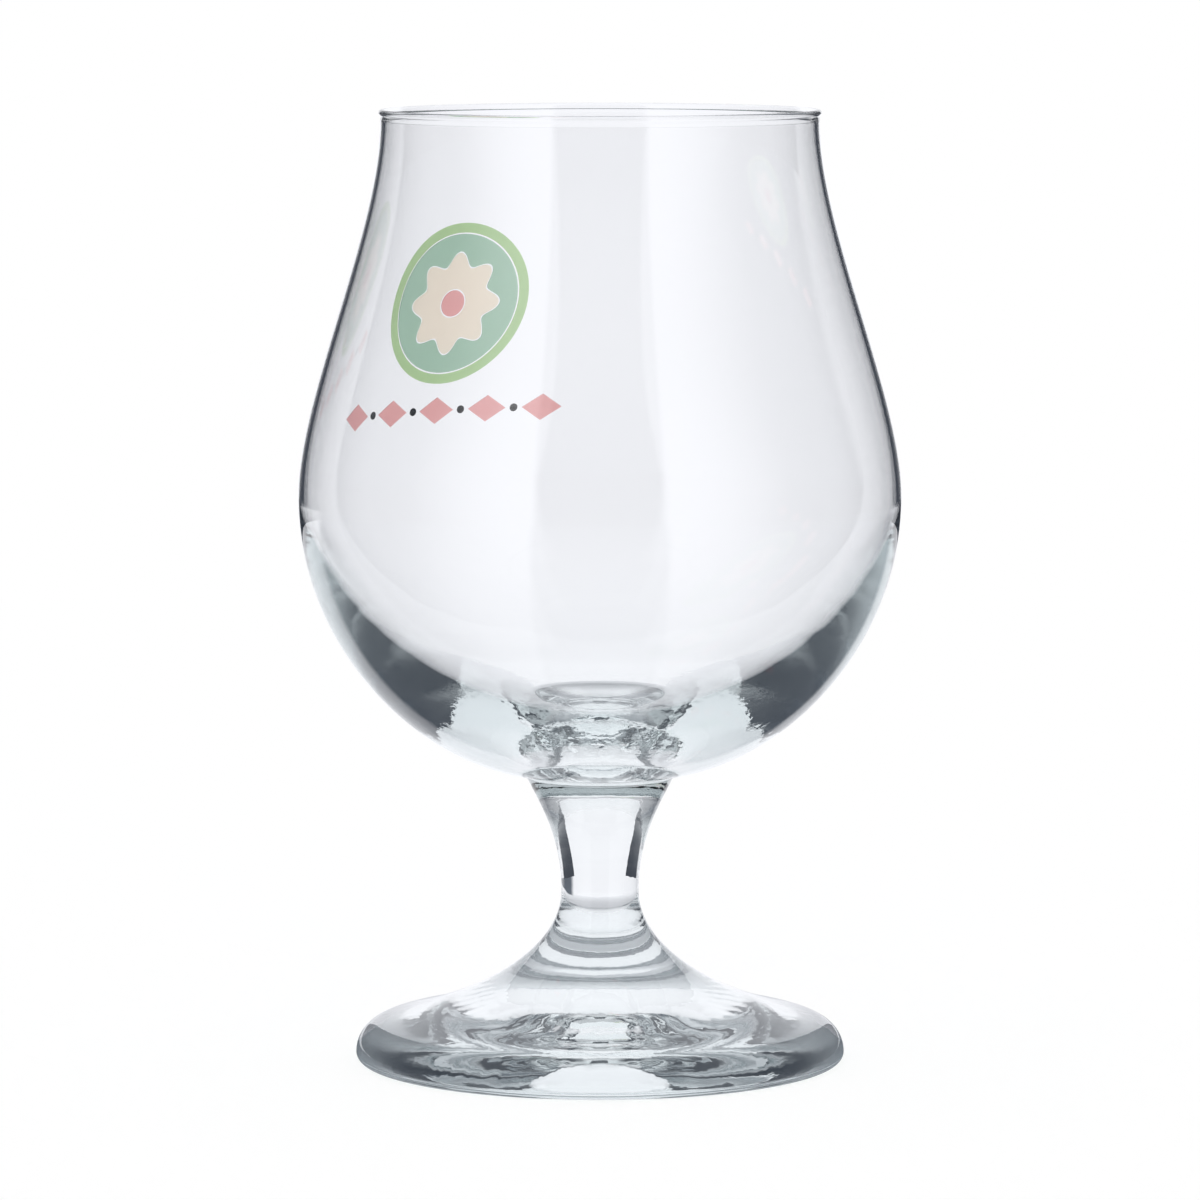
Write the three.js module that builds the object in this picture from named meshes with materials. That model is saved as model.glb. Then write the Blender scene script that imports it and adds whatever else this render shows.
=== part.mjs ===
// Stemmed beer goblet: a wide round bowl with a beaded rim, a short drawn-in stem and a domed foot.
// The three pieces of glass are turned about the Z axis and are welded face to face on level planes.
// A printed enamel design lies on the outside of the bowl's wall.
// Millimetres, +Z up, the foot stands on Z = 0 and the axis runs through the origin.
import * as THREE from "three";

// Overall sizes.
const HEIGHT = 147.4;
const RIM_D = 68;
const BELLY_D = 93;
const BELLY_Z = 87.8;
const FOOT_D = 75.8;

// The bowl. Its wall runs upright at the belly and again below the bead, and the handles say for how long.
// BOTTOM_POWER shapes the round bottom: 2 is an ellipse, and less draws it in towards the stem.
// Inside, the cavity leaves the belly upright and ends level on the axis, with handles of its own.
const RIM_WALL = 0.8;
const BEAD_OVERHANG = 0.3;
const BELLY_WALL = 0.8;
const BASE_THICKNESS = 4.7;
const BELLY_HANDLE = 15.7;
const NECK_HANDLE = 17.2;
const BOTTOM_POWER = 1.64;
const CAVITY_HANDLE = 18;
const FLOOR_HANDLE = 26;

// The stem, and the two level planes where it is welded.
const STEM_D = 12;
const WAIST_Z = 26.4;
const BOWL_WELD_D = 23.4;
const BOWL_WELD_Z = 44.8;
const FOOT_WELD_Z = 20.5;
const FLARE_ANGLE = 63;
const FLARE_HANDLE = 5.4;
const WAIST_HANDLE_UP = 8.4;
const WAIST_HANDLE_DOWN = 8.4;

// The foot: a rounded edge, a sloping top and a flat ring to stand on round a hollowed underside.
const EDGE_Z = 1.4;
const EDGE_INSET = 4.2;
const EDGE_HANDLE = 2.45;
const SHOULDER_Z = 6.35;
const FOOT_SLOPE = 12.8;
const SLOPE_HANDLE = 17.2;
const BEARING_INSET = 1.5;
const BEARING_WIDTH = 4;
const RECESS_HEIGHT = 0.8;
const RECESS_HANDLE = 4;
const HOLLOW_D = 44;
const HOLLOW_DEPTH = 3;
const HOLLOW_TOP_HANDLE = 13;
const HOLLOW_SIDE_HANDLE = 6;

// The enamel print: a roundel over a row of lozenges, centred at PRINT_AZIMUTH degrees from +X.
// PRINT_RISE is the way up the wall from the belly to the middle of the print.
const PRINT_AZIMUTH = 126;
const PRINT_RISE = 25;
const ENAMEL_SEAT = 0.06;
const ENAMEL_THICKNESS = 0.12;
const COLOUR_GAP = 0.25;
const ROUNDEL_D = 27;
const ROUNDEL_RISE = 3.6;
const BORDER_WIDTH = 1.6;
const ROSETTE_D = 17;
const ROSETTE_PETALS = 8;
const PETAL_DEPTH = 2.2;
const EYE_D = 4.4;
const LOZENGES = 5;
const LOZENGE_WIDTH = 6.6;
const LOZENGE_HEIGHT = 4.4;
const LOZENGE_PITCH = 9.4;
const LOZENGE_DROP = 14.4;
const DOT_D = 1.3;

// How finely each round form is divided.
const BOWL_SIDES = 64;
const FOOT_SIDES = 64;
const STEM_SIDES = 48;

const glass = { color: 0xe3ebe8, roughness: 0.04, metalness: 0, transparent: true, opacity: 0.4 };
const enamel = (color) => ({ color, roughness: 0.35, metalness: 0 });

const point = (r, z) => new THREE.Vector2(r, z);

// The point at a distance from another one, in a direction given in degrees above the outward level.
function along(from, degrees, distance) {
  const a = THREE.MathUtils.degToRad(degrees);
  return point(from.x + distance * Math.cos(a), from.y + distance * Math.sin(a));
}

const curve = (...points) => new THREE.CubicBezierCurve(...points);

// Joins runs of profile points, leaving out a point that repeats the one before it.
function profile(...runs) {
  return runs.flat().filter((p, i, all) => i === 0 || p.distanceTo(all[i - 1]) > 1e-6);
}

function named(name, geometry, look) {
  const mesh = new THREE.Mesh(geometry, new THREE.MeshStandardMaterial(look));
  mesh.name = name;
  return mesh;
}

// A solid turned about Z from a profile that starts and ends on the axis.
function turned(name, points, sides) {
  return named(name, new THREE.LatheGeometry(points, sides).rotateX(Math.PI / 2), glass);
}

// Bowl, outside: the round bottom from the weld to the belly, then the wall up to the bead.
const bellyR = BELLY_D / 2;
const rimR = RIM_D / 2;
const neckR = rimR - BEAD_OVERHANG;
const innerNeckR = neckR - RIM_WALL;
const beadR = (rimR - innerNeckR) / 2;
const beadCentre = point(rimR - beadR, HEIGHT - beadR);
const beadStart = -Math.acos((neckR - beadCentre.x) / beadR);
const neckZ = beadCentre.y + beadR * Math.sin(beadStart);
const bowlWeldR = BOWL_WELD_D / 2;

function bowlBottom(steps) {
  return Array.from({ length: steps + 1 }, (_, i) => {
    const a = (i / steps) * (Math.PI / 2);
    const out = Math.sin(a) ** (2 / BOTTOM_POWER);
    return point(
      bowlWeldR + (bellyR - bowlWeldR) * out,
      BELLY_Z - (BELLY_Z - BOWL_WELD_Z) * Math.cos(a),
    );
  });
}

const wall = curve(
  point(bellyR, BELLY_Z),
  point(bellyR, BELLY_Z + BELLY_HANDLE),
  point(neckR, neckZ - NECK_HANDLE),
  point(neckR, neckZ),
);
const bead = new THREE.EllipseCurve(beadCentre.x, beadCentre.y, beadR, beadR, beadStart, Math.PI);

// Bowl, inside: the wall down to the belly, then one curve over the thick bottom.
const innerBellyR = bellyR - BELLY_WALL;
const cavityZ = BOWL_WELD_Z + BASE_THICKNESS;
const innerWall = curve(
  point(innerNeckR, beadCentre.y),
  point(innerNeckR, neckZ - NECK_HANDLE),
  point(innerBellyR, BELLY_Z + BELLY_HANDLE),
  point(innerBellyR, BELLY_Z),
);
const cavity = curve(
  point(innerBellyR, BELLY_Z),
  point(innerBellyR, BELLY_Z - CAVITY_HANDLE),
  point(FLOOR_HANDLE, cavityZ),
  point(0, cavityZ),
);

const bowl = turned(
  "bowl",
  profile(
    [point(0, BOWL_WELD_Z)],
    bowlBottom(14),
    wall.getPoints(14),
    bead.getPoints(8),
    innerWall.getPoints(10),
    cavity.getPoints(10),
  ),
  BOWL_SIDES,
);

// One run of curve goes from the foot's shoulder up to the waist of the stem, and the weld crosses it.
const stemR = STEM_D / 2;
const footR = FOOT_D / 2;
const waist = point(stemR, WAIST_Z);
const shoulder = point(footR - EDGE_INSET, SHOULDER_Z);
const instep = curve(
  shoulder,
  along(shoulder, 180 - FOOT_SLOPE, SLOPE_HANDLE),
  along(waist, -90, WAIST_HANDLE_DOWN),
  waist,
);
const bowlWeld = point(bowlWeldR, BOWL_WELD_Z);
const flare = curve(
  waist,
  along(waist, 90, WAIST_HANDLE_UP),
  along(bowlWeld, 180 + FLARE_ANGLE, FLARE_HANDLE),
  bowlWeld,
);

// Where a rising curve reaches a height, as its parameter, found by halving.
function parameterAt(rising, z) {
  let low = 0;
  let high = 1;
  for (let i = 0; i < 40; i++) {
    const middle = (low + high) / 2;
    if (rising.getPoint(middle).y < z) low = middle;
    else high = middle;
  }
  return (low + high) / 2;
}

// Points of part of a curve, from one parameter to another.
function stretch(of, from, to, steps) {
  return Array.from({ length: steps + 1 }, (_, i) => of.getPoint(from + ((to - from) * i) / steps));
}

const weldAt = parameterAt(instep, FOOT_WELD_Z);
const footWeld = point(instep.getPoint(weldAt).x, FOOT_WELD_Z);

const stem = turned(
  "stem",
  profile(
    [point(0, FOOT_WELD_Z), footWeld],
    stretch(instep, weldAt, 1, 5).slice(1),
    flare.getPoints(8),
    [point(0, BOWL_WELD_Z)],
  ),
  STEM_SIDES,
);

// Foot: the hollow under it and its shallow recess, the ring it stands on, the rounded edge, then
// the slope up to the weld.
const bearingR = footR - BEARING_INSET;
const recessR = bearingR - BEARING_WIDTH;
const hollowR = HOLLOW_D / 2;
const hollowZ = RECESS_HEIGHT + HOLLOW_DEPTH;
const hollow = curve(
  point(0, hollowZ),
  point(HOLLOW_TOP_HANDLE, hollowZ),
  point(hollowR - HOLLOW_SIDE_HANDLE, RECESS_HEIGHT),
  point(hollowR, RECESS_HEIGHT),
);
const recess = curve(
  point(hollowR, RECESS_HEIGHT),
  point(hollowR + RECESS_HANDLE, RECESS_HEIGHT),
  point(recessR - RECESS_HANDLE, 0),
  point(recessR, 0),
);
const underEdge = new THREE.EllipseCurve(bearingR, EDGE_Z, BEARING_INSET, EDGE_Z, -Math.PI / 2, 0);
const edge = curve(
  point(footR, EDGE_Z),
  point(footR, EDGE_Z + EDGE_HANDLE),
  along(shoulder, -FOOT_SLOPE, EDGE_HANDLE),
  shoulder,
);

const foot = turned(
  "foot",
  profile(
    hollow.getPoints(6),
    recess.getPoints(3),
    underEdge.getPoints(4),
    edge.getPoints(5),
    stretch(instep, 0, weldAt, 9).slice(0, -1),
    [footWeld, point(0, FOOT_WELD_Z)],
  ),
  FOOT_SIDES,
);

// The print. A colour field is a thin turned plate, drawn out to its outline and laid on the wall.
// x runs round the wall, y up it, and z out of it.
const wallLength = wall.getLength();
const printAngle = THREE.MathUtils.degToRad(PRINT_AZIMUTH);

function layOnWall(geometry) {
  const position = geometry.getAttribute("position");
  for (let i = 0; i < position.count; i++) {
    const share = (PRINT_RISE + position.getY(i)) / wallLength;
    const at = wall.getPointAt(share);
    const up = wall.getTangentAt(share);
    const out = position.getZ(i);
    const angle = printAngle + position.getX(i) / at.x;
    const r = at.x + out * up.y;
    position.setXYZ(i, r * Math.cos(angle), r * Math.sin(angle), at.y - out * up.x);
  }
  geometry.computeVertexNormals();
  return geometry;
}

// A field's edges are functions of the angle round its middle, and inner is left out where it has no hole.
function field({ name, color, outer, inner, sides, rings, x = 0, y = 0 }) {
  const low = ENAMEL_SEAT;
  const high = ENAMEL_SEAT + ENAMEL_THICKNESS;
  const steps = Array.from({ length: rings + 1 }, (_, i) => i / rings);
  const plate = [
    ...steps.map((s) => point(s, low)),
    ...steps.toReversed().map((s) => point(s, high)),
  ];
  if (inner) {
    plate.forEach((p) => (p.x += 1));
    plate.push(plate[0].clone());
  }
  const geometry = new THREE.LatheGeometry(plate, sides).rotateX(Math.PI / 2);
  const position = geometry.getAttribute("position");
  for (let i = 0; i < position.count; i++) {
    const px = position.getX(i);
    const py = position.getY(i);
    const distance = Math.hypot(px, py);
    const angle = Math.atan2(py, px);
    const near = inner ? inner(angle) : 0;
    const share = inner ? distance - 1 : distance;
    const reach = near + (outer(angle) - near) * share;
    position.setX(i, x + reach * Math.cos(angle));
    position.setY(i, y + reach * Math.sin(angle));
  }
  return named(name, layOnWall(geometry), enamel(color));
}

const roundelR = ROUNDEL_D / 2;
const fieldR = roundelR - BORDER_WIDTH - COLOUR_GAP;
const eyeR = EYE_D / 2;
const petals = (angle) =>
  ROSETTE_D / 2 - PETAL_DEPTH * (0.5 - 0.5 * Math.cos(ROSETTE_PETALS * angle));
const lozenge = (angle) =>
  1 / (Math.abs(Math.cos(angle)) / (LOZENGE_WIDTH / 2) + Math.abs(Math.sin(angle)) / (LOZENGE_HEIGHT / 2));

const print = new THREE.Group();
print.add(
  field({
    name: "print_border",
    color: 0xa9cf8f,
    outer: () => roundelR,
    inner: () => roundelR - BORDER_WIDTH,
    sides: 48,
    rings: 1,
    y: ROUNDEL_RISE,
  }),
  field({
    name: "print_field",
    color: 0x2f7d4a,
    outer: () => fieldR,
    inner: (angle) => petals(angle) + COLOUR_GAP,
    sides: 64,
    rings: 2,
    y: ROUNDEL_RISE,
  }),
  field({
    name: "print_rosette",
    color: 0xefe4c4,
    outer: petals,
    inner: () => eyeR + COLOUR_GAP,
    sides: 64,
    rings: 3,
    y: ROUNDEL_RISE,
  }),
  field({
    name: "print_eye",
    color: 0xb3262d,
    outer: () => eyeR,
    sides: 20,
    rings: 2,
    y: ROUNDEL_RISE,
  }),
);
for (let i = 0; i < LOZENGES; i++) {
  const x = (i - (LOZENGES - 1) / 2) * LOZENGE_PITCH;
  print.add(
    field({
      name: `print_lozenge_${i + 1}`,
      color: 0xb3262d,
      outer: lozenge,
      sides: 8,
      rings: 2,
      x,
      y: -LOZENGE_DROP,
    }),
  );
  if (i === LOZENGES - 1) continue;
  print.add(
    field({
      name: `print_dot_${i + 1}`,
      color: 0x1c1c1c,
      outer: () => DOT_D / 2,
      sides: 12,
      rings: 1,
      x: x + LOZENGE_PITCH / 2,
      y: -LOZENGE_DROP,
    }),
  );
}

const goblet = new THREE.Group();
goblet.add(bowl, stem, foot, print);

export default goblet;
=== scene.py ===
"""A clear stemmed beer goblet with a printed enamel roundel, standing on a white table."""
import math

import bpy
from mathutils import Matrix, Vector


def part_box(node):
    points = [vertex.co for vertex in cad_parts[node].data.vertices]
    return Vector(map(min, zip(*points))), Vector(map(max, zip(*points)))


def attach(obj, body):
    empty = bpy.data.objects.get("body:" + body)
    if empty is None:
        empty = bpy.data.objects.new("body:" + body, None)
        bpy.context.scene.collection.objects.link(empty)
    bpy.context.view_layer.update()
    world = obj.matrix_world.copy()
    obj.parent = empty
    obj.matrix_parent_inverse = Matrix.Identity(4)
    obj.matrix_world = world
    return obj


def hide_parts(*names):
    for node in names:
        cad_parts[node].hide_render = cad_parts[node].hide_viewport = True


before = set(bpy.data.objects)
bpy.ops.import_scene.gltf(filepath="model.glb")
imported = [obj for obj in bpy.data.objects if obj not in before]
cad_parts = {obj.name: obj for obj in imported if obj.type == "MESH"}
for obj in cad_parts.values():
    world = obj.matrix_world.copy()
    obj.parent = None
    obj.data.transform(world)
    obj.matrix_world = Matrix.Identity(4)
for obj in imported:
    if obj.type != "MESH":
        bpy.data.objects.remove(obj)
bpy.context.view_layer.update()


# Foot
# The pressed glass foot: a flat ring to stand on, a low recess with a deeper hollow in its middle,
# a rounded edge, and a sloping top that sweeps up to the stem. It is welded hot under the stem.
MM = 0.001
FOOT_EDGE_Z = 1.4 * MM
FOOT_EDGE_INSET = 4.2 * MM
FOOT_EDGE_HANDLE = 2.45 * MM
FOOT_SHOULDER_Z = 6.35 * MM
FOOT_SLOPE = math.radians(12.8)
FOOT_SLOPE_HANDLE = 17.2 * MM
FOOT_BEARING_INSET = 1.5 * MM
FOOT_BEARING_WIDTH = 4.0 * MM
FOOT_RECESS = 0.8 * MM
FOOT_RECESS_HANDLE = 4.0 * MM
FOOT_HOLLOW_R = 22.0 * MM
FOOT_HOLLOW_DEPTH = 3.0 * MM
FOOT_HOLLOW_TOP_HANDLE = 13.0 * MM
FOOT_HOLLOW_SIDE_HANDLE = 6.0 * MM
FOOT_HOLLOW_STEPS = 30
FOOT_RECESS_STEPS = 14
FOOT_ROUND_STEPS = 12
FOOT_EDGE_STEPS = 16
FOOT_SLOPE_STEPS = 56
STEM_WAIST_R = 6.0 * MM
STEM_WAIST_Z = 26.4 * MM
STEM_WAIST_HANDLE_DOWN = 8.4 * MM

foot_low, foot_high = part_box("foot")
foot_r = (foot_high.x - foot_low.x) / 2


def point(r, z):
    """A point of the turned outline: distance from the axis, and height."""
    return Vector((r, 0.0, z))


def along(start, angle, distance):
    """The point at a distance from another, at an angle above the outward level."""
    return start + point(distance * math.cos(angle), distance * math.sin(angle))


def bezier(a, b, c, d, steps):
    """Points of one cubic curve, both ends included."""
    run = []
    for i in range(steps + 1):
        t = i / steps
        s = 1.0 - t
        run.append(a * s**3 + b * (3 * s * s * t) + c * (3 * s * t * t) + d * t**3)
    return run


def arc(centre, rx, rz, start, end, steps):
    """Points of part of an ellipse, both ends included, by angle above the outward level."""
    run = []
    for i in range(steps + 1):
        a = start + (end - start) * i / steps
        run.append(centre + point(rx * math.cos(a), rz * math.sin(a)))
    return run


QUARTER = math.pi / 2
foot_bearing_r = foot_r - FOOT_BEARING_INSET
foot_recess_r = foot_bearing_r - FOOT_BEARING_WIDTH
foot_hollow_z = FOOT_RECESS + FOOT_HOLLOW_DEPTH
foot_shoulder = point(foot_r - FOOT_EDGE_INSET, FOOT_SHOULDER_Z)
stem_waist = point(STEM_WAIST_R, STEM_WAIST_Z)

foot_run = bezier(
    point(0, foot_hollow_z),
    point(FOOT_HOLLOW_TOP_HANDLE, foot_hollow_z),
    point(FOOT_HOLLOW_R - FOOT_HOLLOW_SIDE_HANDLE, FOOT_RECESS),
    point(FOOT_HOLLOW_R, FOOT_RECESS),
    FOOT_HOLLOW_STEPS,
)
foot_run += bezier(
    point(FOOT_HOLLOW_R, FOOT_RECESS),
    point(FOOT_HOLLOW_R + FOOT_RECESS_HANDLE, FOOT_RECESS),
    point(foot_recess_r - FOOT_RECESS_HANDLE, 0.0),
    point(foot_recess_r, 0.0),
    FOOT_RECESS_STEPS,
)
foot_run += arc(
    point(foot_bearing_r, FOOT_EDGE_Z), FOOT_BEARING_INSET, FOOT_EDGE_Z, -QUARTER, 0.0, FOOT_ROUND_STEPS
)
foot_run += bezier(
    point(foot_r, FOOT_EDGE_Z),
    point(foot_r, FOOT_EDGE_Z + FOOT_EDGE_HANDLE),
    along(foot_shoulder, -FOOT_SLOPE, FOOT_EDGE_HANDLE),
    foot_shoulder,
    FOOT_EDGE_STEPS,
)
foot_run += bezier(
    foot_shoulder,
    along(foot_shoulder, math.pi - FOOT_SLOPE, FOOT_SLOPE_HANDLE),
    along(stem_waist, -QUARTER, STEM_WAIST_HANDLE_DOWN),
    stem_waist,
    FOOT_SLOPE_STEPS,
)


# Stem
# A short solid stem of glass, drawn in at the waist and flared where the bowl sits on it.
STEM_WAIST_HANDLE_UP = 8.4 * MM
STEM_FLARE = math.radians(63)
STEM_FLARE_HANDLE = 5.4 * MM
STEM_STEPS = 36

stem_low, stem_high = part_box("stem")
stem_weld = point((stem_high.x - stem_low.x) / 2, stem_high.z)
stem_run = bezier(
    stem_waist,
    along(stem_waist, QUARTER, STEM_WAIST_HANDLE_UP),
    along(stem_weld, math.pi + STEM_FLARE, STEM_FLARE_HANDLE),
    stem_weld,
    STEM_STEPS,
)


# Bowl
# The blown bowl: a thick round bottom, a wall that draws in towards the mouth,
# and a fire-polished bead round the rim.
BOWL_BELLY_Z = 87.8 * MM
BOWL_BOTTOM_POWER = 1.64
BOWL_BELLY_HANDLE = 15.7 * MM
BOWL_NECK_HANDLE = 17.2 * MM
BOWL_BEAD_OVERHANG = 0.3 * MM
BOWL_RIM_R = 34.0 * MM
BOWL_RIM_WALL = 0.8 * MM
BOWL_BELLY_WALL = 0.8 * MM
BOWL_BASE = 4.7 * MM
BOWL_CAVITY_HANDLE = 18.0 * MM
BOWL_FLOOR_HANDLE = 26.0 * MM
BOWL_WELD_ROUND = 0.9 * MM
BOWL_WELD_STEPS = 12
BOWL_BOTTOM_STEPS = 110
BOWL_WALL_STEPS = 64
BOWL_BEAD_STEPS = 20
BOWL_INSIDE_STEPS = 56
BOWL_CAVITY_STEPS = 110

bowl_low, bowl_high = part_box("bowl")
bowl_belly_r = (bowl_high.x - bowl_low.x) / 2
bowl_neck_r = BOWL_RIM_R - BOWL_BEAD_OVERHANG
bowl_mouth_r = bowl_neck_r - BOWL_RIM_WALL
bead_r = (BOWL_RIM_R - bowl_mouth_r) / 2
bead_centre = point(BOWL_RIM_R - bead_r, bowl_high.z - bead_r)
bead_start = -math.acos((bowl_neck_r - bead_centre.x) / bead_r)
bowl_neck_z = bead_centre.z + bead_r * math.sin(bead_start)


def bowl_bottom(steps):
    """The round bottom from the weld to the belly: an ellipse drawn in towards the stem."""
    run = []
    for i in range(1, steps + 1):
        a = QUARTER * i / steps
        out = math.sin(a) ** (2 / BOWL_BOTTOM_POWER)
        r = stem_weld.x + (bowl_belly_r - stem_weld.x) * out
        run.append(point(r, BOWL_BELLY_Z - (BOWL_BELLY_Z - bowl_low.z) * math.cos(a)))
    return run


bowl_wall = bezier(
    point(bowl_belly_r, BOWL_BELLY_Z),
    point(bowl_belly_r, BOWL_BELLY_Z + BOWL_BELLY_HANDLE),
    point(bowl_neck_r, bowl_neck_z - BOWL_NECK_HANDLE),
    point(bowl_neck_r, bowl_neck_z),
    BOWL_WALL_STEPS,
)
bowl_inner_r = bowl_belly_r - BOWL_BELLY_WALL
bowl_cavity_z = bowl_low.z + BOWL_BASE
bowl_run = bowl_bottom(BOWL_BOTTOM_STEPS)
bowl_run += bowl_wall
bowl_run += arc(bead_centre, bead_r, bead_r, bead_start, math.pi, BOWL_BEAD_STEPS)
bowl_run += bezier(
    point(bowl_mouth_r, bead_centre.z),
    point(bowl_mouth_r, bowl_neck_z - BOWL_NECK_HANDLE),
    point(bowl_inner_r, BOWL_BELLY_Z + BOWL_BELLY_HANDLE),
    point(bowl_inner_r, BOWL_BELLY_Z),
    BOWL_INSIDE_STEPS,
)
bowl_run += bezier(
    point(bowl_inner_r, BOWL_BELLY_Z),
    point(bowl_inner_r, BOWL_BELLY_Z - BOWL_CAVITY_HANDLE),
    point(BOWL_FLOOR_HANDLE, bowl_cavity_z),
    point(0, bowl_cavity_z),
    BOWL_CAVITY_STEPS,
)


# Glass
# Bowl, stem and foot are one clear body once they are welded: light meets no face between them.
# The outline is turned about the axis by a node tree, which closes the seam and both poles, gives
# the thick lower part the soft, level ripples that hot working leaves, and rays the foot's hollow.
WHITE = (1.0, 1.0, 1.0, 1.0)
GLASS_SIDES = 160
GLASS_IOR = 1.52
GLASS_TINT = (0.803, 0.875, 0.875, 1.0)
GLASS_TINT_DENSITY = 12.0
RIPPLE_HEIGHT = 0.02 * MM
RIPPLE_PITCH = 3.0 * MM
RIPPLE_LENGTH = 30.0 * MM
RIPPLE_TOP = 92.0 * MM
RIPPLE_FADE = 14.0 * MM
RIPPLE_FOOT = 3.0 * MM
RIPPLE_DETAIL = 1.0
RIDGES = 44
RIDGE_HEIGHT = 0.02 * MM
RIDGE_WANDER = 9.0
RIDGE_INNER = (12.0 * MM, 15.0 * MM)
RIDGE_OUTER = (19.0 * MM, 22.0 * MM)
CHILL_HEIGHT = 0.018 * MM
CHILL_PITCH = 1.5 * MM
CHILL_LENGTH = 1.8 * MM
CHILL_TOP = 62.0 * MM
CHILL_FADE = 8.0 * MM
CHILL_DETAIL = 1.5
WEAR_HEIGHT = 0.25 * MM
WEAR_ROUGHNESS = 0.25
MERGE_DISTANCE = 1e-6


def rounded(before, corner, after, distance):
    """Two runs of points joined by a small hollow curve in place of the corner between them."""
    start = [p for p in before if (p - corner).length > distance]
    end = [p for p in after if (p - corner).length > distance]
    leave = (start[-1] + 2 * corner) / 3
    arrive = (end[0] + 2 * corner) / 3
    return start + bezier(start[-1], leave, arrive, end[0], BOWL_WELD_STEPS) + end


def outline_object(name, points):
    """A bare line of points, which a node tree reads by their order."""
    distinct = [p for i, p in enumerate(points) if i == 0 or (p - points[i - 1]).length > MERGE_DISTANCE]
    mesh = bpy.data.meshes.new(name)
    mesh.from_pydata(distinct, [(i, i + 1) for i in range(len(distinct) - 1)], [])
    made = bpy.data.objects.new(name, mesh)
    bpy.context.scene.collection.objects.link(made)
    return made


def node_group(name, inputs):
    """A geometry tree with its group nodes and named inputs, ready for its own nodes."""
    tree = bpy.data.node_groups.new(name, "GeometryNodeTree")
    tree.interface.new_socket("Geometry", in_out="INPUT", socket_type="NodeSocketGeometry")
    for label, kind in inputs:
        tree.interface.new_socket(label, in_out="INPUT", socket_type=kind)
    tree.interface.new_socket("Geometry", in_out="OUTPUT", socket_type="NodeSocketGeometry")
    start = tree.nodes.new("NodeGroupInput")
    end = tree.nodes.new("NodeGroupOutput")
    return tree, start, end


def feed(tree, sockets, values):
    """Gives each socket its value, which is another node's socket or a constant."""
    for socket, value in zip(sockets, values):
        if isinstance(value, bpy.types.NodeSocket):
            tree.links.new(value, socket)
        else:
            socket.default_value = value


def sum_node(tree, operation, *values):
    """One sum on numbers, each a socket or a constant."""
    node = tree.nodes.new("ShaderNodeMath")
    node.operation = operation
    feed(tree, node.inputs, values)
    return node.outputs[0]


def vector_node(tree, operation, *values):
    """One sum on vectors, each a socket or a constant. Its answer is a vector."""
    node = tree.nodes.new("ShaderNodeVectorMath")
    node.operation = operation
    feed(tree, node.inputs, values)
    return node.outputs["Vector"]


def measure_node(tree, operation, *values):
    """One sum on vectors whose answer is a number: a length, or a dot product."""
    node = tree.nodes.new("ShaderNodeVectorMath")
    node.operation = operation
    feed(tree, node.inputs, values)
    return node.outputs["Value"]


def parts_node(tree, vector):
    """The three parts of a vector, as numbers."""
    node = tree.nodes.new("ShaderNodeSeparateXYZ")
    tree.links.new(vector, node.inputs[0])
    return node.outputs


def noise_node(tree, vector, scale, detail):
    """Smooth noise from 0 to 1 over a vector."""
    node = tree.nodes.new("ShaderNodeTexNoise")
    node.inputs["Scale"].default_value = scale
    node.inputs["Detail"].default_value = detail
    tree.links.new(vector, node.inputs["Vector"])
    return node.outputs[0]


def ramp_node(tree, value, low, high, at_low=0.0, at_high=1.0):
    """A smooth step from one level to another as a number passes from low to high."""
    node = tree.nodes.new("ShaderNodeMapRange")
    node.interpolation_type = "SMOOTHSTEP"
    feed(tree, node.inputs, (value, low, high, at_low, at_high))
    return node.outputs[0]


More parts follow.
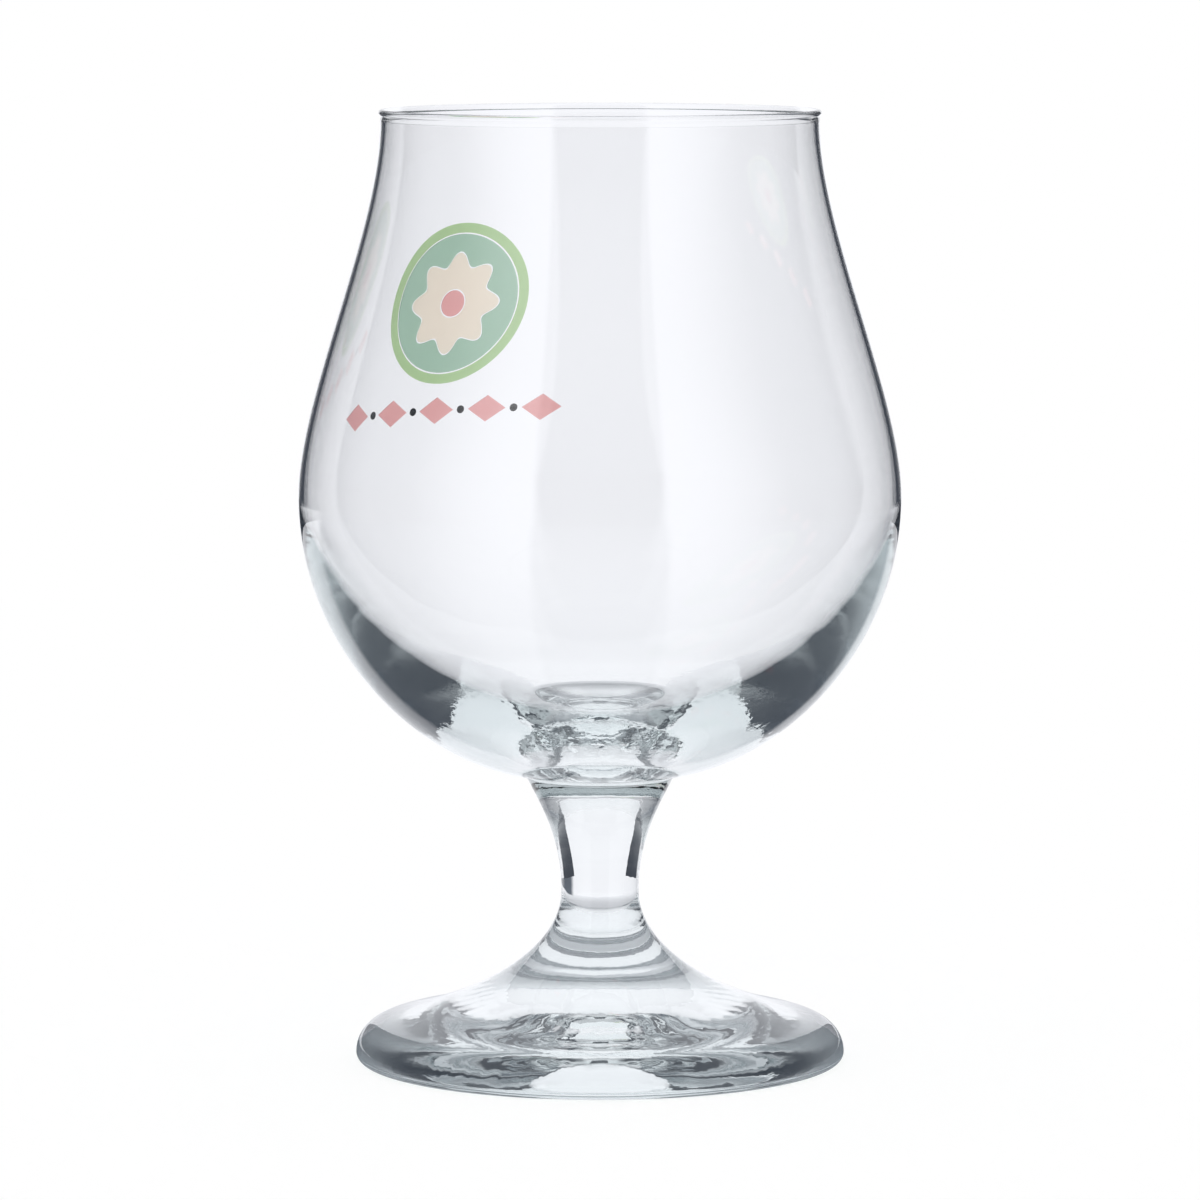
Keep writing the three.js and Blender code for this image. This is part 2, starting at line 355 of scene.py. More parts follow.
def turning_tree():
    """Turns a line of points about Z, as a grid with a row for each point and a column for each side."""
    tree, start, end = node_group(
        "turned on the axis",
        [
            ("Sides", "NodeSocketInt"),
            ("Ripple Height", "NodeSocketFloat"),
            ("Ripple Pitch", "NodeSocketFloat"),
            ("Ripple Length", "NodeSocketFloat"),
            ("Ridges", "NodeSocketInt"),
            ("Ridge Height", "NodeSocketFloat"),
            ("Material", "NodeSocketMaterial"),
        ],
    )
    link = tree.links.new
    size = tree.nodes.new("GeometryNodeAttributeDomainSize")
    link(start.outputs["Geometry"], size.inputs["Geometry"])
    columns = sum_node(tree, "ADD", start.outputs["Sides"], 1)
    grid = tree.nodes.new("GeometryNodeMeshGrid")
    link(size.outputs["Point Count"], grid.inputs["Vertices X"])
    link(columns, grid.inputs["Vertices Y"])
    index = tree.nodes.new("GeometryNodeInputIndex").outputs[0]
    row = sum_node(tree, "FLOOR", sum_node(tree, "DIVIDE", index, columns))
    column = sum_node(tree, "MODULO", index, columns)
    position = tree.nodes.new("GeometryNodeInputPosition").outputs[0]
    sample = tree.nodes.new("GeometryNodeSampleIndex")
    sample.data_type = "FLOAT_VECTOR"
    link(start.outputs["Geometry"], sample.inputs["Geometry"])
    link(position, sample.inputs["Value"])
    link(row, sample.inputs["Index"])
    angle = sum_node(tree, "MULTIPLY", sum_node(tree, "DIVIDE", column, start.outputs["Sides"]), math.tau)
    turn = tree.nodes.new("ShaderNodeVectorRotate")
    turn.rotation_type = "Z_AXIS"
    link(sample.outputs[0], turn.inputs["Vector"])
    link(angle, turn.inputs["Angle"])
    place = tree.nodes.new("GeometryNodeSetPosition")
    link(grid.outputs["Mesh"], place.inputs["Geometry"])
    link(turn.outputs[0], place.inputs["Position"])
    merge = tree.nodes.new("GeometryNodeMergeByDistance")
    merge.inputs["Distance"].default_value = MERGE_DISTANCE
    link(place.outputs[0], merge.inputs["Geometry"])
    outward = tree.nodes.new("GeometryNodeFlipFaces")
    link(merge.outputs[0], outward.inputs["Mesh"])

    # Ripples: long round the glass, short up it, and none on the thin wall or the standing ring.
    x, y, z = parts_node(tree, position)
    stretched = tree.nodes.new("ShaderNodeCombineXYZ")
    lengthwise = sum_node(tree, "DIVIDE", x, start.outputs["Ripple Length"])
    crosswise = sum_node(tree, "DIVIDE", y, start.outputs["Ripple Length"])
    upward = sum_node(tree, "DIVIDE", z, start.outputs["Ripple Pitch"])
    feed(tree, stretched.inputs, (lengthwise, crosswise, upward))
    wave = sum_node(tree, "SUBTRACT", noise_node(tree, stretched.outputs[0], 1.0, RIPPLE_DETAIL), 0.5)
    below = ramp_node(tree, z, RIPPLE_TOP - RIPPLE_FADE, RIPPLE_TOP, 1.0, 0.0)
    above = ramp_node(tree, z, 0.0, RIPPLE_FOOT)
    faded = sum_node(tree, "MULTIPLY", wave, sum_node(tree, "MULTIPLY", below, above))
    height = sum_node(tree, "MULTIPLY", faded, start.outputs["Ripple Height"])

    # Ridges: a ring of short rays pressed into the hollow under the foot.
    flat = tree.nodes.new("ShaderNodeCombineXYZ")
    feed(tree, flat.inputs, (x, y, 0.0))
    reach = measure_node(tree, "LENGTH", flat.outputs[0])
    turned = sum_node(tree, "MULTIPLY", sum_node(tree, "ARCTAN2", y, x), start.outputs["Ridges"])
    turned = sum_node(tree, "MULTIPLY_ADD", wave, RIDGE_WANDER, turned)
    begin = ramp_node(tree, reach, *RIDGE_INNER)
    finish = ramp_node(tree, reach, *RIDGE_OUTER, 1.0, 0.0)
    low = ramp_node(tree, z, foot_hollow_z, foot_hollow_z + FOOT_RECESS, 1.0, 0.0)
    inside = sum_node(tree, "MULTIPLY", sum_node(tree, "MULTIPLY", begin, finish), low)
    ray = sum_node(tree, "MULTIPLY", sum_node(tree, "SINE", turned), inside)
    height = sum_node(tree, "MULTIPLY_ADD", ray, start.outputs["Ridge Height"], height)

    normal = tree.nodes.new("GeometryNodeInputNormal").outputs[0]
    push = tree.nodes.new("ShaderNodeVectorMath")
    push.operation = "SCALE"
    link(normal, push.inputs[0])
    link(height, push.inputs["Scale"])
    ripple = tree.nodes.new("GeometryNodeSetPosition")
    link(outward.outputs[0], ripple.inputs["Geometry"])
    link(push.outputs[0], ripple.inputs["Offset"])
    smooth = tree.nodes.new("GeometryNodeSetShadeSmooth")
    link(ripple.outputs[0], smooth.inputs["Geometry"])
    realize = tree.nodes.new("GeometryNodeRealizeInstances")
    link(smooth.outputs[0], realize.inputs["Geometry"])
    paint = tree.nodes.new("GeometryNodeSetMaterial")
    link(realize.outputs[0], paint.inputs["Geometry"])
    link(start.outputs["Material"], paint.inputs["Material"])
    link(paint.outputs[0], end.inputs["Geometry"])
    return tree


def grown(source, name, tree, inputs):
    """The plain mesh that a tree makes from an object, which is then removed.

    Each input is set by its socket's identifier, before the object is first evaluated.
    """
    modifier = source.modifiers.new("tree", "NODES")
    modifier.node_group = tree
    for item in tree.interface.items_tree:
        if item.in_out == "INPUT" and item.name in inputs:
            modifier[item.identifier] = inputs[item.name]
    bpy.context.view_layer.update()
    evaluated = source.evaluated_get(bpy.context.evaluated_depsgraph_get())
    mesh = bpy.data.meshes.new_from_object(evaluated)
    mesh.name = name
    made = bpy.data.objects.new(name, mesh)
    bpy.context.scene.collection.objects.link(made)
    bpy.data.objects.remove(source)
    return made


def new_material(name):
    """A material with its node tree and its main shader."""
    material = bpy.data.materials.new(name)
    material.use_nodes = True
    return material, material.node_tree, material.node_tree.nodes["Principled BSDF"]


def roughen(tree, shader, height, distance):
    """Gives a shader a fine unevenness of the surface, too small to be made in the mesh."""
    bump = tree.nodes.new("ShaderNodeBump")
    bump.inputs["Strength"].default_value = 1.0
    bump.inputs["Distance"].default_value = distance
    tree.links.new(height, bump.inputs["Height"])
    tree.links.new(bump.outputs[0], shader.inputs["Normal"])


def glass_material():
    """Clear soda-lime glass, faintly green-grey where it is thick, dulled a little where it stands."""
    material, tree, shader = new_material("clear_glass")
    shader.inputs["Base Color"].default_value = WHITE
    shader.inputs["Transmission Weight"].default_value = 1.0
    shader.inputs["IOR"].default_value = GLASS_IOR
    place = tree.nodes.new("ShaderNodeTexCoord").outputs["Object"]
    height = parts_node(tree, place)[2]
    squeezed = tree.nodes.new("ShaderNodeMapping")
    squeezed.inputs["Scale"].default_value = (1 / CHILL_LENGTH, 1 / CHILL_LENGTH, 1 / CHILL_PITCH)
    tree.links.new(place, squeezed.inputs["Vector"])
    chill = noise_node(tree, squeezed.outputs[0], 1.0, CHILL_DETAIL)
    pressed = ramp_node(tree, height, CHILL_TOP - CHILL_FADE, CHILL_TOP, 1.0, 0.0)
    roughen(tree, shader, sum_node(tree, "MULTIPLY", chill, pressed), CHILL_HEIGHT)
    worn = ramp_node(tree, height, 0.0, WEAR_HEIGHT, WEAR_ROUGHNESS, 0.0)
    tree.links.new(worn, shader.inputs["Roughness"])
    tint = tree.nodes.new("ShaderNodeVolumeAbsorption")
    tint.inputs["Color"].default_value = GLASS_TINT
    tint.inputs["Density"].default_value = GLASS_TINT_DENSITY
    tree.links.new(tint.outputs["Volume"], tree.nodes["Material Output"].inputs["Volume"])
    return material


glass = grown(
    outline_object("glass_outline", foot_run + rounded(stem_run, stem_weld, bowl_run, BOWL_WELD_ROUND)),
    "goblet_glass",
    turning_tree(),
    {
        "Sides": GLASS_SIDES,
        "Ripple Height": RIPPLE_HEIGHT,
        "Ripple Pitch": RIPPLE_PITCH,
        "Ripple Length": RIPPLE_LENGTH,
        "Ridges": RIDGES,
        "Ridge Height": RIDGE_HEIGHT,
        "Material": glass_material(),
    },
)
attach(glass, "root")
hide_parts("bowl", "stem", "foot")


# Roundel
# Fired enamel, screen-printed on the outside of the bowl: a light green ring, a green field,
# a cream rosette and a red eye. The colours are fused to the glass. Where seen through it, each has a
# paler colour: painted light that stands in for light shining through the thin enamel.
PRINT_AZIMUTH = math.radians(126)
PRINT_RISE = 25.0 * MM
ENAMEL_SEAT = 0.02 * MM
ENAMEL_THICKNESS = 0.08 * MM
COLOUR_GAP = 0.25 * MM
ROUNDEL_R = 13.5 * MM
ROUNDEL_RISE = 3.6 * MM
BORDER_WIDTH = 1.6 * MM
ROSETTE_R = 8.5 * MM
ROSETTE_PETALS = 8
PETAL_DEPTH = 2.2 * MM
EYE_R = 2.2 * MM
ENAMEL_ROUGHNESS = (0.3, 0.48)
ENAMEL_GRAIN = 0.01 * MM
MOTTLE_SCALE = 900.0
MOTTLE_DETAIL = 4.0
MOTTLE_SHADE = 0.86
MOTTLE_RANGE = (0.3, 0.7)
MIDDLE_R = 0.1 * MM
UNDERSIDE = "underside"


def smallest_ring(angle):
    """The ring of points next to the middle of a field that has no hole."""
    return MIDDLE_R


def enamel_plate(name, outer, inner, sides, rings, rise):
    """A flat colour field: x runs round the wall, y up it and z out of it. Its edges follow the angle.

    A field with no inner edge is closed by a point in its middle.
    """
    low = []
    high = []
    whole = inner is None
    if whole:
        inner = smallest_ring
    for k in range(rings + 1):
        for i in range(sides):
            a = math.tau * i / sides
            reach = inner(a) + (outer(a) - inner(a)) * k / rings
            x = reach * math.cos(a)
            y = rise + reach * math.sin(a)
            low.append((x, y, ENAMEL_SEAT))
            high.append((x, y, ENAMEL_SEAT + ENAMEL_THICKNESS))
    faces = []
    under = []
    count = len(low)
    for k in range(rings):
        for i in range(sides):
            j = (i + 1) % sides
            a, b = k * sides + i, k * sides + j
            c, d = a + sides, b + sides
            faces.append((count + a, count + c, count + d, count + b))
            faces.append((a, b, d, c))
            under += [0.0, 1.0]
    middle = [(0.0, rise, ENAMEL_SEAT), (0.0, rise, ENAMEL_SEAT + ENAMEL_THICKNESS)] if whole else []
    for i in range(sides):
        j = (i + 1) % sides
        a, b = i, j
        c, d = rings * sides + i, rings * sides + j
        faces.append((c, d, count + d, count + c))
        under.append(0.0)
        if whole:
            faces.append((b, a, 2 * count))
            faces.append((count + a, count + b, 2 * count + 1))
            under += [1.0, 0.0]
        else:
            faces.append((a, count + a, count + b, b))
            under.append(0.0)
    mesh = bpy.data.meshes.new(name)
    mesh.from_pydata(low + high + middle, [], faces)
    mark = mesh.attributes.new(UNDERSIDE, "FLOAT", "FACE")
    mark.data.foreach_set("value", under)
    plate = bpy.data.objects.new(name, mesh)
    bpy.context.scene.collection.objects.link(plate)
    return plate


def printing_tree():
    """Repeats a flat field along a row, then lays it on the bowl's wall at a height and an angle."""
    tree, start, end = node_group(
        "printed on the wall",
        [
            ("Wall", "NodeSocketObject"),
            ("Copies", "NodeSocketInt"),
            ("Pitch", "NodeSocketFloat"),
            ("Rise", "NodeSocketFloat"),
            ("Azimuth", "NodeSocketFloat"),
            ("Material", "NodeSocketMaterial"),
        ],
    )
    link = tree.links.new
    step = tree.nodes.new("ShaderNodeCombineXYZ")
    link(start.outputs["Pitch"], step.inputs[0])
    last = sum_node(tree, "SUBTRACT", start.outputs["Copies"], 1)
    first = tree.nodes.new("ShaderNodeCombineXYZ")
    row_length = sum_node(tree, "MULTIPLY", last, start.outputs["Pitch"])
    link(sum_node(tree, "MULTIPLY", row_length, -0.5), first.inputs[0])
    line = tree.nodes.new("GeometryNodeMeshLine")
    link(start.outputs["Copies"], line.inputs["Count"])
    link(first.outputs[0], line.inputs["Start Location"])
    link(step.outputs[0], line.inputs["Offset"])
    copies = tree.nodes.new("GeometryNodeInstanceOnPoints")
    link(line.outputs[0], copies.inputs["Points"])
    link(start.outputs["Geometry"], copies.inputs["Instance"])
    realize = tree.nodes.new("GeometryNodeRealizeInstances")
    link(copies.outputs[0], realize.inputs[0])

    guide = tree.nodes.new("GeometryNodeObjectInfo")
    link(start.outputs["Wall"], guide.inputs["Object"])
    wall = tree.nodes.new("GeometryNodeMeshToCurve")
    link(guide.outputs["Geometry"], wall.inputs[0])
    across, up, out = parts_node(tree, tree.nodes.new("GeometryNodeInputPosition").outputs[0])
    on_wall = tree.nodes.new("GeometryNodeSampleCurve")
    on_wall.mode = "LENGTH"
    link(wall.outputs[0], on_wall.inputs["Curves"])
    link(sum_node(tree, "ADD", up, start.outputs["Rise"]), on_wall.inputs["Length"])
    wall_r, _, wall_z = parts_node(tree, on_wall.outputs["Position"])
    lean_r, _, lean_z = parts_node(tree, on_wall.outputs["Tangent"])
    radius = sum_node(tree, "MULTIPLY_ADD", out, lean_z, wall_r)
    height = sum_node(tree, "SUBTRACT", wall_z, sum_node(tree, "MULTIPLY", out, lean_r))
    angle = sum_node(tree, "ADD", start.outputs["Azimuth"], sum_node(tree, "DIVIDE", across, wall_r))
    laid = tree.nodes.new("ShaderNodeCombineXYZ")
    x = sum_node(tree, "MULTIPLY", radius, sum_node(tree, "COSINE", angle))
    y = sum_node(tree, "MULTIPLY", radius, sum_node(tree, "SINE", angle))
    feed(tree, laid.inputs, (x, y, height))
    place = tree.nodes.new("GeometryNodeSetPosition")
    link(realize.outputs[0], place.inputs["Geometry"])
    link(laid.outputs[0], place.inputs["Position"])
    paint = tree.nodes.new("GeometryNodeSetMaterial")
    link(place.outputs[0], paint.inputs["Geometry"])
    link(start.outputs["Material"], paint.inputs["Material"])
    link(paint.outputs[0], end.inputs["Geometry"])
    return tree


def colour_mix(tree, factor, a, b):
    """A colour between two others."""
    node = tree.nodes.new("ShaderNodeMix")
    node.data_type = "RGBA"
    ends = [socket for socket in node.inputs if socket.type == "RGBA"]
    feed(tree, (node.inputs["Factor"], *ends), (factor, a, b))
    return [socket for socket in node.outputs if socket.type == "RGBA"][0]


def enamel(name, colour, painted_backlit_colour):
    """Satin fired enamel, uneven as a screen lays it. The side that meets the glass has a paler colour:
    painted light that stands in for light shining through the thin enamel.
    """
    material, tree, shader = new_material(name)
    place = tree.nodes.new("ShaderNodeTexCoord").outputs["Object"]
    mottle = noise_node(tree, place, MOTTLE_SCALE, MOTTLE_DETAIL)
    shade = [c * MOTTLE_SHADE for c in colour]
    laid = colour_mix(tree, mottle, (*colour, 1.0), (*shade, 1.0))
    side = tree.nodes.new("ShaderNodeAttribute")
    side.attribute_name = UNDERSIDE
    # Underside faces take the paler colour: painted light for light shining through the enamel.
    seen = colour_mix(tree, side.outputs["Fac"], laid, (*painted_backlit_colour, 1.0))
    tree.links.new(seen, shader.inputs["Base Color"])
    rough = ramp_node(tree, mottle, *MOTTLE_RANGE, *ENAMEL_ROUGHNESS)
    tree.links.new(rough, shader.inputs["Roughness"])
    roughen(tree, shader, mottle, ENAMEL_GRAIN)
    return material


printed = printing_tree()


def print_piece(plate, name, material, copies=1, pitch=0.0):
    """One colour of the print, laid on the wall."""
    guide = outline_object("wall_guide", bowl_wall)
    piece = grown(
        plate,
        name,
        printed,
        {
            "Wall": guide,
            "Copies": copies,
            "Pitch": pitch,
            "Rise": PRINT_RISE,
            "Azimuth": PRINT_AZIMUTH,
            "Material": material,
        },
    )
    bpy.data.objects.remove(guide)
    return piece


def petals(angle):
    """The rosette's edge, waving in and out round its petals."""
    return ROSETTE_R - PETAL_DEPTH * (0.5 - 0.5 * math.cos(ROSETTE_PETALS * angle))


def field_inside(angle):
    """The green field's inner edge, which follows the petals at a small gap."""
    return petals(angle) + COLOUR_GAP


# The second colour of each enamel is its paler underside: painted light shining through the enamel.
light_green = enamel("light_green_enamel", (0.40, 0.62, 0.27), (0.50, 0.69, 0.38))
green = enamel("green_enamel", (0.028, 0.205, 0.068), (0.44, 0.63, 0.51))
cream = enamel("cream_enamel", (0.86, 0.78, 0.55), (0.93, 0.84, 0.73))
red = enamel("red_enamel", (0.45, 0.019, 0.026), (0.86, 0.45, 0.45))
black = enamel("black_enamel", (0.012, 0.012, 0.012), (0.02, 0.02, 0.02))

border_r = ROUNDEL_R - BORDER_WIDTH
field_r = border_r - COLOUR_GAP
rosette_inside_r = EYE_R + COLOUR_GAP
border = print_piece(
    enamel_plate("plate", lambda a: ROUNDEL_R, lambda a: border_r, sides=160, rings=2, rise=ROUNDEL_RISE),
    "roundel_border",
    light_green,
)
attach(border, "root")
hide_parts("print_border")

field = print_piece(
    enamel_plate("plate", lambda a: field_r, field_inside, sides=192, rings=6, rise=ROUNDEL_RISE),
    "roundel_field",
    green,
)
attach(field, "root")
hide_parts("print_field")

rosette = print_piece(
    enamel_plate("plate", petals, lambda a: rosette_inside_r, sides=192, rings=8, rise=ROUNDEL_RISE),
    "roundel_rosette",
    cream,
)
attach(rosette, "root")
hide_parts("print_rosette")

eye = print_piece(
    enamel_plate("plate", lambda a: EYE_R, None, sides=64, rings=4, rise=ROUNDEL_RISE),
    "roundel_eye",
    red,
)
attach(eye, "root")
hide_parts("print_eye")


# Lozenges
# A row of red enamel lozenges printed under the roundel, evenly spaced round the wall.
LOZENGES = 5
LOZENGE_HALF_WIDTH = 3.3 * MM
LOZENGE_HALF_HEIGHT = 2.2 * MM
LOZENGE_PITCH = 9.4 * MM
LOZENGE_DROP = -14.4 * MM


def lozenge(angle):
    """A lozenge's edge at an angle round its middle."""
    return 1.0 / (abs(math.cos(angle)) / LOZENGE_HALF_WIDTH + abs(math.sin(angle)) / LOZENGE_HALF_HEIGHT)


lozenges = print_piece(
    enamel_plate("plate", lozenge, None, sides=32, rings=6, rise=LOZENGE_DROP),
    "lozenge_row",
    red,
    LOZENGES,
    LOZENGE_PITCH,
)
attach(lozenges, "root")
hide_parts(*[f"print_lozenge_{i + 1}" for i in range(LOZENGES)])


# Dots
# Black enamel dots printed between the lozenges.
DOTS = LOZENGES - 1
DOT_R = 0.65 * MM

dots = print_piece(
    enamel_plate("plate", lambda a: DOT_R, None, sides=32, rings=2, rise=LOZENGE_DROP),
    "dot_row",
    black,
    DOTS,
    LOZENGE_PITCH,
)
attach(dots, "root")
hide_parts(*[f"print_dot_{i + 1}" for i in range(DOTS)])


# Table
# A round white table top. Half of its white is its own glow, so the shadow of the glass stays faint.
# Dark cards lie to the right of the glass, and to its left and in front for mirrored rays.
# Only the glass sees them. Each card has a heading and half its width, both in degrees.
TABLE_R = 0.7
TABLE_SIDES = 128
TABLE_GLOW = 0.5
RIGHT_CARD = (78, 44)
MIRRORED_CARDS = ((-86, 38), (180, 58))
CARD_COLOUR = (0.125, 0.143, 0.172, 1.0)
CARD_EDGE = 4.0
BARE_HALF = 75 * MM
BARE_EDGE = 10 * MM
# Painted shadow on the table under the foot and round it, seen by the glass alone.
UNDER_MIDDLE = 1.0
UNDER_EDGE_SHADOW = 0.2
UNDER_MIDDLE_R = 18 * MM
UNDER_REACH = (0.9, 1.1)
GLASS_LIGHT = (0.985, 0.995, 1.035, 1.0)
SOFTBOX_START = 25.0
SOFTBOX_END = 86.0
SOFTBOX_EDGE = 2.0
SOFTBOX_LEVEL = 0.88
NEAR_SHADOW_LEVEL = 0.55
NEAR_SHADOW_R = 0.14


def heading_vector(degrees):
    """The level direction at a heading, where 0 is straight behind the glass and 90 is to its right."""
    a = math.radians(degrees)
    return math.sin(a), math.cos(a), 0.0


def facing(tree, level, heading, half, edge):
    """1 where a level direction lies within half of a heading and 0 off it, soft at the edge."""
    towards = measure_node(tree, "DOT_PRODUCT", level, heading_vector(heading))
    outer = math.cos(math.radians(half + edge))
    inner = math.cos(math.radians(half - edge))
    return ramp_node(tree, towards, outer, inner)


def soft_boxes(tree, level):
    """Two soft boxes, sharp on the side by the camera and fading round to the sides."""
    towards = measure_node(tree, "DOT_PRODUCT", level, heading_vector(180))
    near_edge = [math.cos(math.radians(SOFTBOX_START + side * SOFTBOX_EDGE)) for side in (1, -1)]
    far_edge = [math.cos(math.radians(end)) for end in (SOFTBOX_END, SOFTBOX_START)]
    start = ramp_node(tree, towards, *near_edge, 1.0, 0.0)
    fade = ramp_node(tree, towards, *far_edge, 0.0, SOFTBOX_LEVEL)
    return sum_node(tree, "MULTIPLY", start, fade)


def seen_by_glass(tree):
    """1 for a ray that the glass sends on, before it has met anything matt, and 0 for every other."""
    path = tree.nodes.new("ShaderNodeLightPath")
    onward = (path.outputs["Is Glossy Ray"], path.outputs["Is Transmission Ray"])
    by_glass = sum_node(tree, "MAXIMUM", *onward)
    from_matt = sum_node(tree, "GREATER_THAN", path.outputs["Diffuse Depth"], 0.5)
    return sum_node(tree, "MULTIPLY", by_glass, sum_node(tree, "SUBTRACT", 1.0, from_matt))


def mirrored(tree):
    """1 for a ray that some face of the glass has mirrored, and 0 for one that came straight through."""
    path = tree.nodes.new("ShaderNodeLightPath")
    return sum_node(tree, "GREATER_THAN", path.outputs["Glossy Depth"], 0.5)


def number_mix(tree, factor, a, b):
    """A number between two others."""
    node = tree.nodes.new("ShaderNodeMix")
    feed(tree, (node.inputs["Factor"], node.inputs["A"], node.inputs["B"]), (factor, a, b))
    return node.outputs["Result"]


def table_material():
    """Matt white that glows a little, with the cards and a painted shadow under and round the foot for
    the glass alone.
    """
    material, tree, shader = new_material("white_table")
    material.cycles.emission_sampling = "NONE"
    shader.inputs["Specular IOR Level"].default_value = 0.0
    shader.inputs["Roughness"].default_value = 1.0
    spot = tree.nodes.new("ShaderNodeTexCoord").outputs["Object"]
    level = vector_node(tree, "NORMALIZE", spot)
    distance = measure_node(tree, "LENGTH", spot)
    by_mirror = mirrored(tree)

    # The right card leaves a bare strip abreast of the glass, which only mirrored rays see as dark.
    abreast = sum_node(tree, "ABSOLUTE", parts_node(tree, spot)[1])
    off_strip = ramp_node(tree, abreast, BARE_HALF, BARE_HALF + BARE_EDGE)
    seen_dark = sum_node(tree, "MAXIMUM", off_strip, by_mirror)
    cover = sum_node(tree, "MULTIPLY", facing(tree, level, *RIGHT_CARD, CARD_EDGE), seen_dark)
    white = sum_node(tree, "SUBTRACT", 1.0, cover)
    for card in MIRRORED_CARDS:
        cover = sum_node(tree, "MULTIPLY", facing(tree, level, *card, CARD_EDGE), by_mirror)
        white = sum_node(tree, "MULTIPLY", white, sum_node(tree, "SUBTRACT", 1.0, cover))
    white = sum_node(tree, "MAXIMUM", white, soft_boxes(tree, level))

    # Painted shadow for the glass alone: the table is dimmer close to the foot, and under it bright only
    # in the middle and darkest by the standing ring.
    near_shadow = ramp_node(tree, distance, foot_r, NEAR_SHADOW_R, NEAR_SHADOW_LEVEL, 1.0)
    white = sum_node(tree, "MULTIPLY", white, near_shadow)
    beyond = ramp_node(tree, distance, *[share * foot_r for share in UNDER_REACH])
    under = ramp_node(tree, distance, UNDER_MIDDLE_R, foot_r, UNDER_MIDDLE, UNDER_EDGE_SHADOW)
    white = number_mix(tree, beyond, under, white)
    seen = colour_mix(tree, white, CARD_COLOUR, GLASS_LIGHT)
    seen = colour_mix(tree, seen_by_glass(tree), WHITE, seen)
    lit = vector_node(tree, "MULTIPLY", seen, (1 - TABLE_GLOW,) * 3)
    tree.links.new(lit, shader.inputs["Base Color"])
    tree.links.new(seen, shader.inputs["Emission Color"])
    shader.inputs["Emission Strength"].default_value = TABLE_GLOW
    return material


table_mesh = bpy.data.meshes.new("table")
ring = [math.tau * i / TABLE_SIDES for i in range(TABLE_SIDES)]
table_mesh.from_pydata(
    [(TABLE_R * math.cos(a), TABLE_R * math.sin(a), 0.0) for a in ring], [], [tuple(range(TABLE_SIDES))]
)
table_mesh.materials.append(table_material())
table = bpy.data.objects.new("table", table_mesh)
bpy.context.scene.collection.objects.link(table)


# Backdrop
# A white card stands close behind the glass, widest by the belly and narrower by rim and foot.
# What the wall's edge bends past the card is dark, which draws the outline of the glass.
BACKDROP_Y = 105 * MM
BACKDROP_FOOT_HALF = 53 * MM
BACKDROP_HALF = 66 * MM
BACKDROP_NECK_HALF = 58 * MM
BACKDROP_NECK_Z = 150 * MM
BACKDROP_TOP_Z = 250 * MM

backdrop_mesh = bpy.data.meshes.new("backdrop")
backdrop_mesh.from_pydata(
    [
        (-BACKDROP_FOOT_HALF, BACKDROP_Y, 0.0),
        (BACKDROP_FOOT_HALF, BACKDROP_Y, 0.0),
        (BACKDROP_HALF, BACKDROP_Y, BOWL_BELLY_Z),
        (BACKDROP_NECK_HALF, BACKDROP_Y, BACKDROP_NECK_Z),
        (BACKDROP_NECK_HALF, BACKDROP_Y, BACKDROP_TOP_Z),
        (-BACKDROP_NECK_HALF, BACKDROP_Y, BACKDROP_TOP_Z),
        (-BACKDROP_NECK_HALF, BACKDROP_Y, BACKDROP_NECK_Z),
        (-BACKDROP_HALF, BACKDROP_Y, BOWL_BELLY_Z),
    ],
    [],
    [(0, 1, 2, 3, 4, 5, 6, 7)],
)
white_card, _, card_shader = new_material("white_card")
white_card.cycles.emission_sampling = "NONE"
card_shader.inputs["Base Color"].default_value = (0.0, 0.0, 0.0, 1.0)
card_shader.inputs["Specular IOR Level"].default_value = 0.0
card_shader.inputs["Emission Color"].default_value = GLASS_LIGHT
card_shader.inputs["Emission Strength"].default_value = 1.0
backdrop_mesh.materials.append(white_card)
backdrop = bpy.data.objects.new("backdrop", backdrop_mesh)
backdrop.visible_camera = False
bpy.context.scene.collection.objects.link(backdrop)


# Light
# The camera and matt surfaces see an even white tent. Glass, in its reflections and through it,
# sees a dark studio: two soft boxes beside the camera, and a soft ceiling. What comes straight
# through the glass also sees white windows left, right and in front, at the headings given.
ROOM_COLOUR = (0.055, 0.062, 0.078, 1.0)
PANEL_EDGE = 2.0
SOFTBOX_TOP = 60
WINDOWS = (-90, 90, 180)
WINDOW_HALF = 30.0
WINDOW_TOP = 60
CEILING_LOW = math.sin(math.radians(15))
CEILING_HIGH = math.sin(math.radians(60))
CEILING_LEVEL = 0.6
GLASS_BOUNCES = 64

world = bpy.data.worlds.new("studio")
bpy.context.scene.world = world
world.use_nodes = True
world.cycles.sampling_method = "NONE"
sky = world.node_tree
direction = sky.nodes.new("ShaderNodeTexCoord").outputs["Generated"]
sky_level = vector_node(sky, "NORMALIZE", vector_node(sky, "MULTIPLY", direction, (1.0, 1.0, 0.0)))
rise = parts_node(sky, direction)[2]


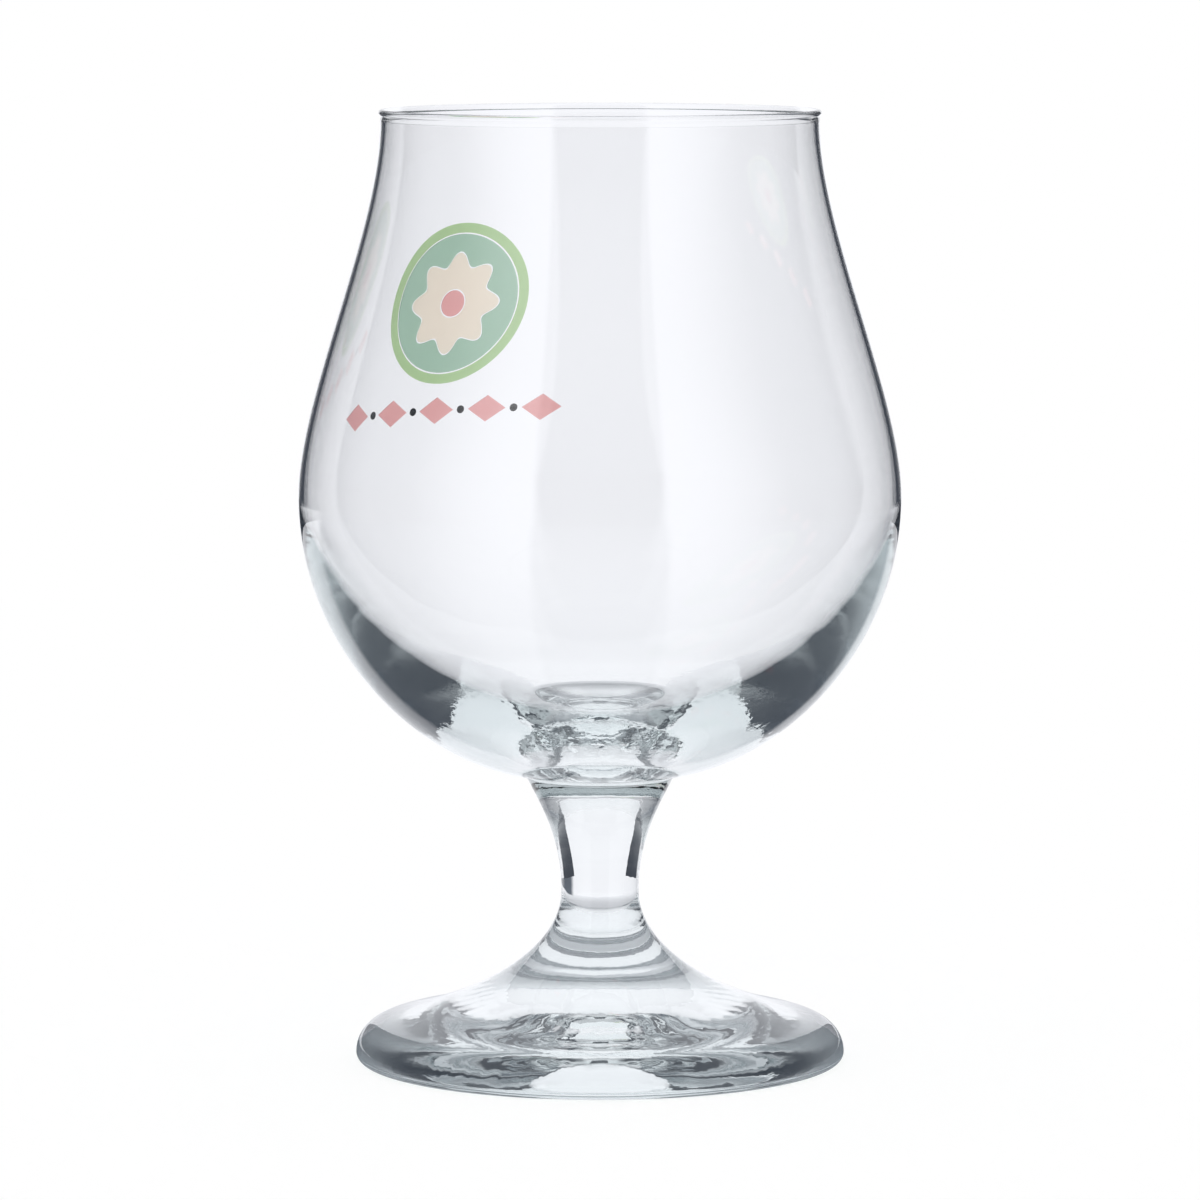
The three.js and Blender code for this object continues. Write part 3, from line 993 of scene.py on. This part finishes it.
def elevation_step(elevation, at_low, at_high):
    """A soft step as a direction rises past an elevation."""
    low = math.sin(math.radians(elevation - PANEL_EDGE))
    high = math.sin(math.radians(elevation + PANEL_EDGE))
    return ramp_node(sky, rise, low, high, at_low, at_high)


studio = ramp_node(sky, rise, CEILING_LOW, CEILING_HIGH, 0.0, CEILING_LEVEL)
straight = sum_node(sky, "SUBTRACT", 1.0, mirrored(sky))
straight = sum_node(sky, "MULTIPLY", straight, elevation_step(WINDOW_TOP, 1.0, 0.0))
for heading in WINDOWS:
    window = facing(sky, sky_level, heading, WINDOW_HALF, PANEL_EDGE)
    studio = sum_node(sky, "MAXIMUM", studio, sum_node(sky, "MULTIPLY", window, straight))
boxes = sum_node(sky, "MULTIPLY", soft_boxes(sky, sky_level), elevation_step(SOFTBOX_TOP, 1.0, 0.0))
studio = sum_node(sky, "MAXIMUM", studio, boxes)
room = colour_mix(sky, studio, ROOM_COLOUR, GLASS_LIGHT)
room = colour_mix(sky, seen_by_glass(sky), WHITE, room)
sky.links.new(room, sky.nodes["Background"].inputs["Color"])

# Light goes to and fro many times in the stem and the thick bottom before it leaves them.
cycles = bpy.context.scene.cycles
cycles.blur_glossy = 0.0
cycles.max_bounces = GLASS_BOUNCES
cycles.glossy_bounces = GLASS_BOUNCES
cycles.transmission_bounces = GLASS_BOUNCES


# Camera
# A long lens a metre away, a little above the rim, tipped down to the middle of the glass.
CAMERA_DISTANCE = 1.034
CAMERA_HEIGHT = 0.1792
CAMERA_PITCH = math.radians(5.935)
CAMERA_LENS = 201.8
CAMERA_SENSOR = 36.0

camera_data = bpy.data.cameras.new("camera")
camera_data.sensor_width = CAMERA_SENSOR
camera_data.lens = CAMERA_LENS
camera = bpy.data.objects.new("camera", camera_data)
bpy.context.scene.collection.objects.link(camera)
tilt = Matrix.Rotation(QUARTER - CAMERA_PITCH, 4, "X")
camera.matrix_world = Matrix.Translation((0.0, -CAMERA_DISTANCE, CAMERA_HEIGHT)) @ tilt
bpy.context.scene.camera = camera
bpy.context.scene.view_settings.view_transform = "Standard"
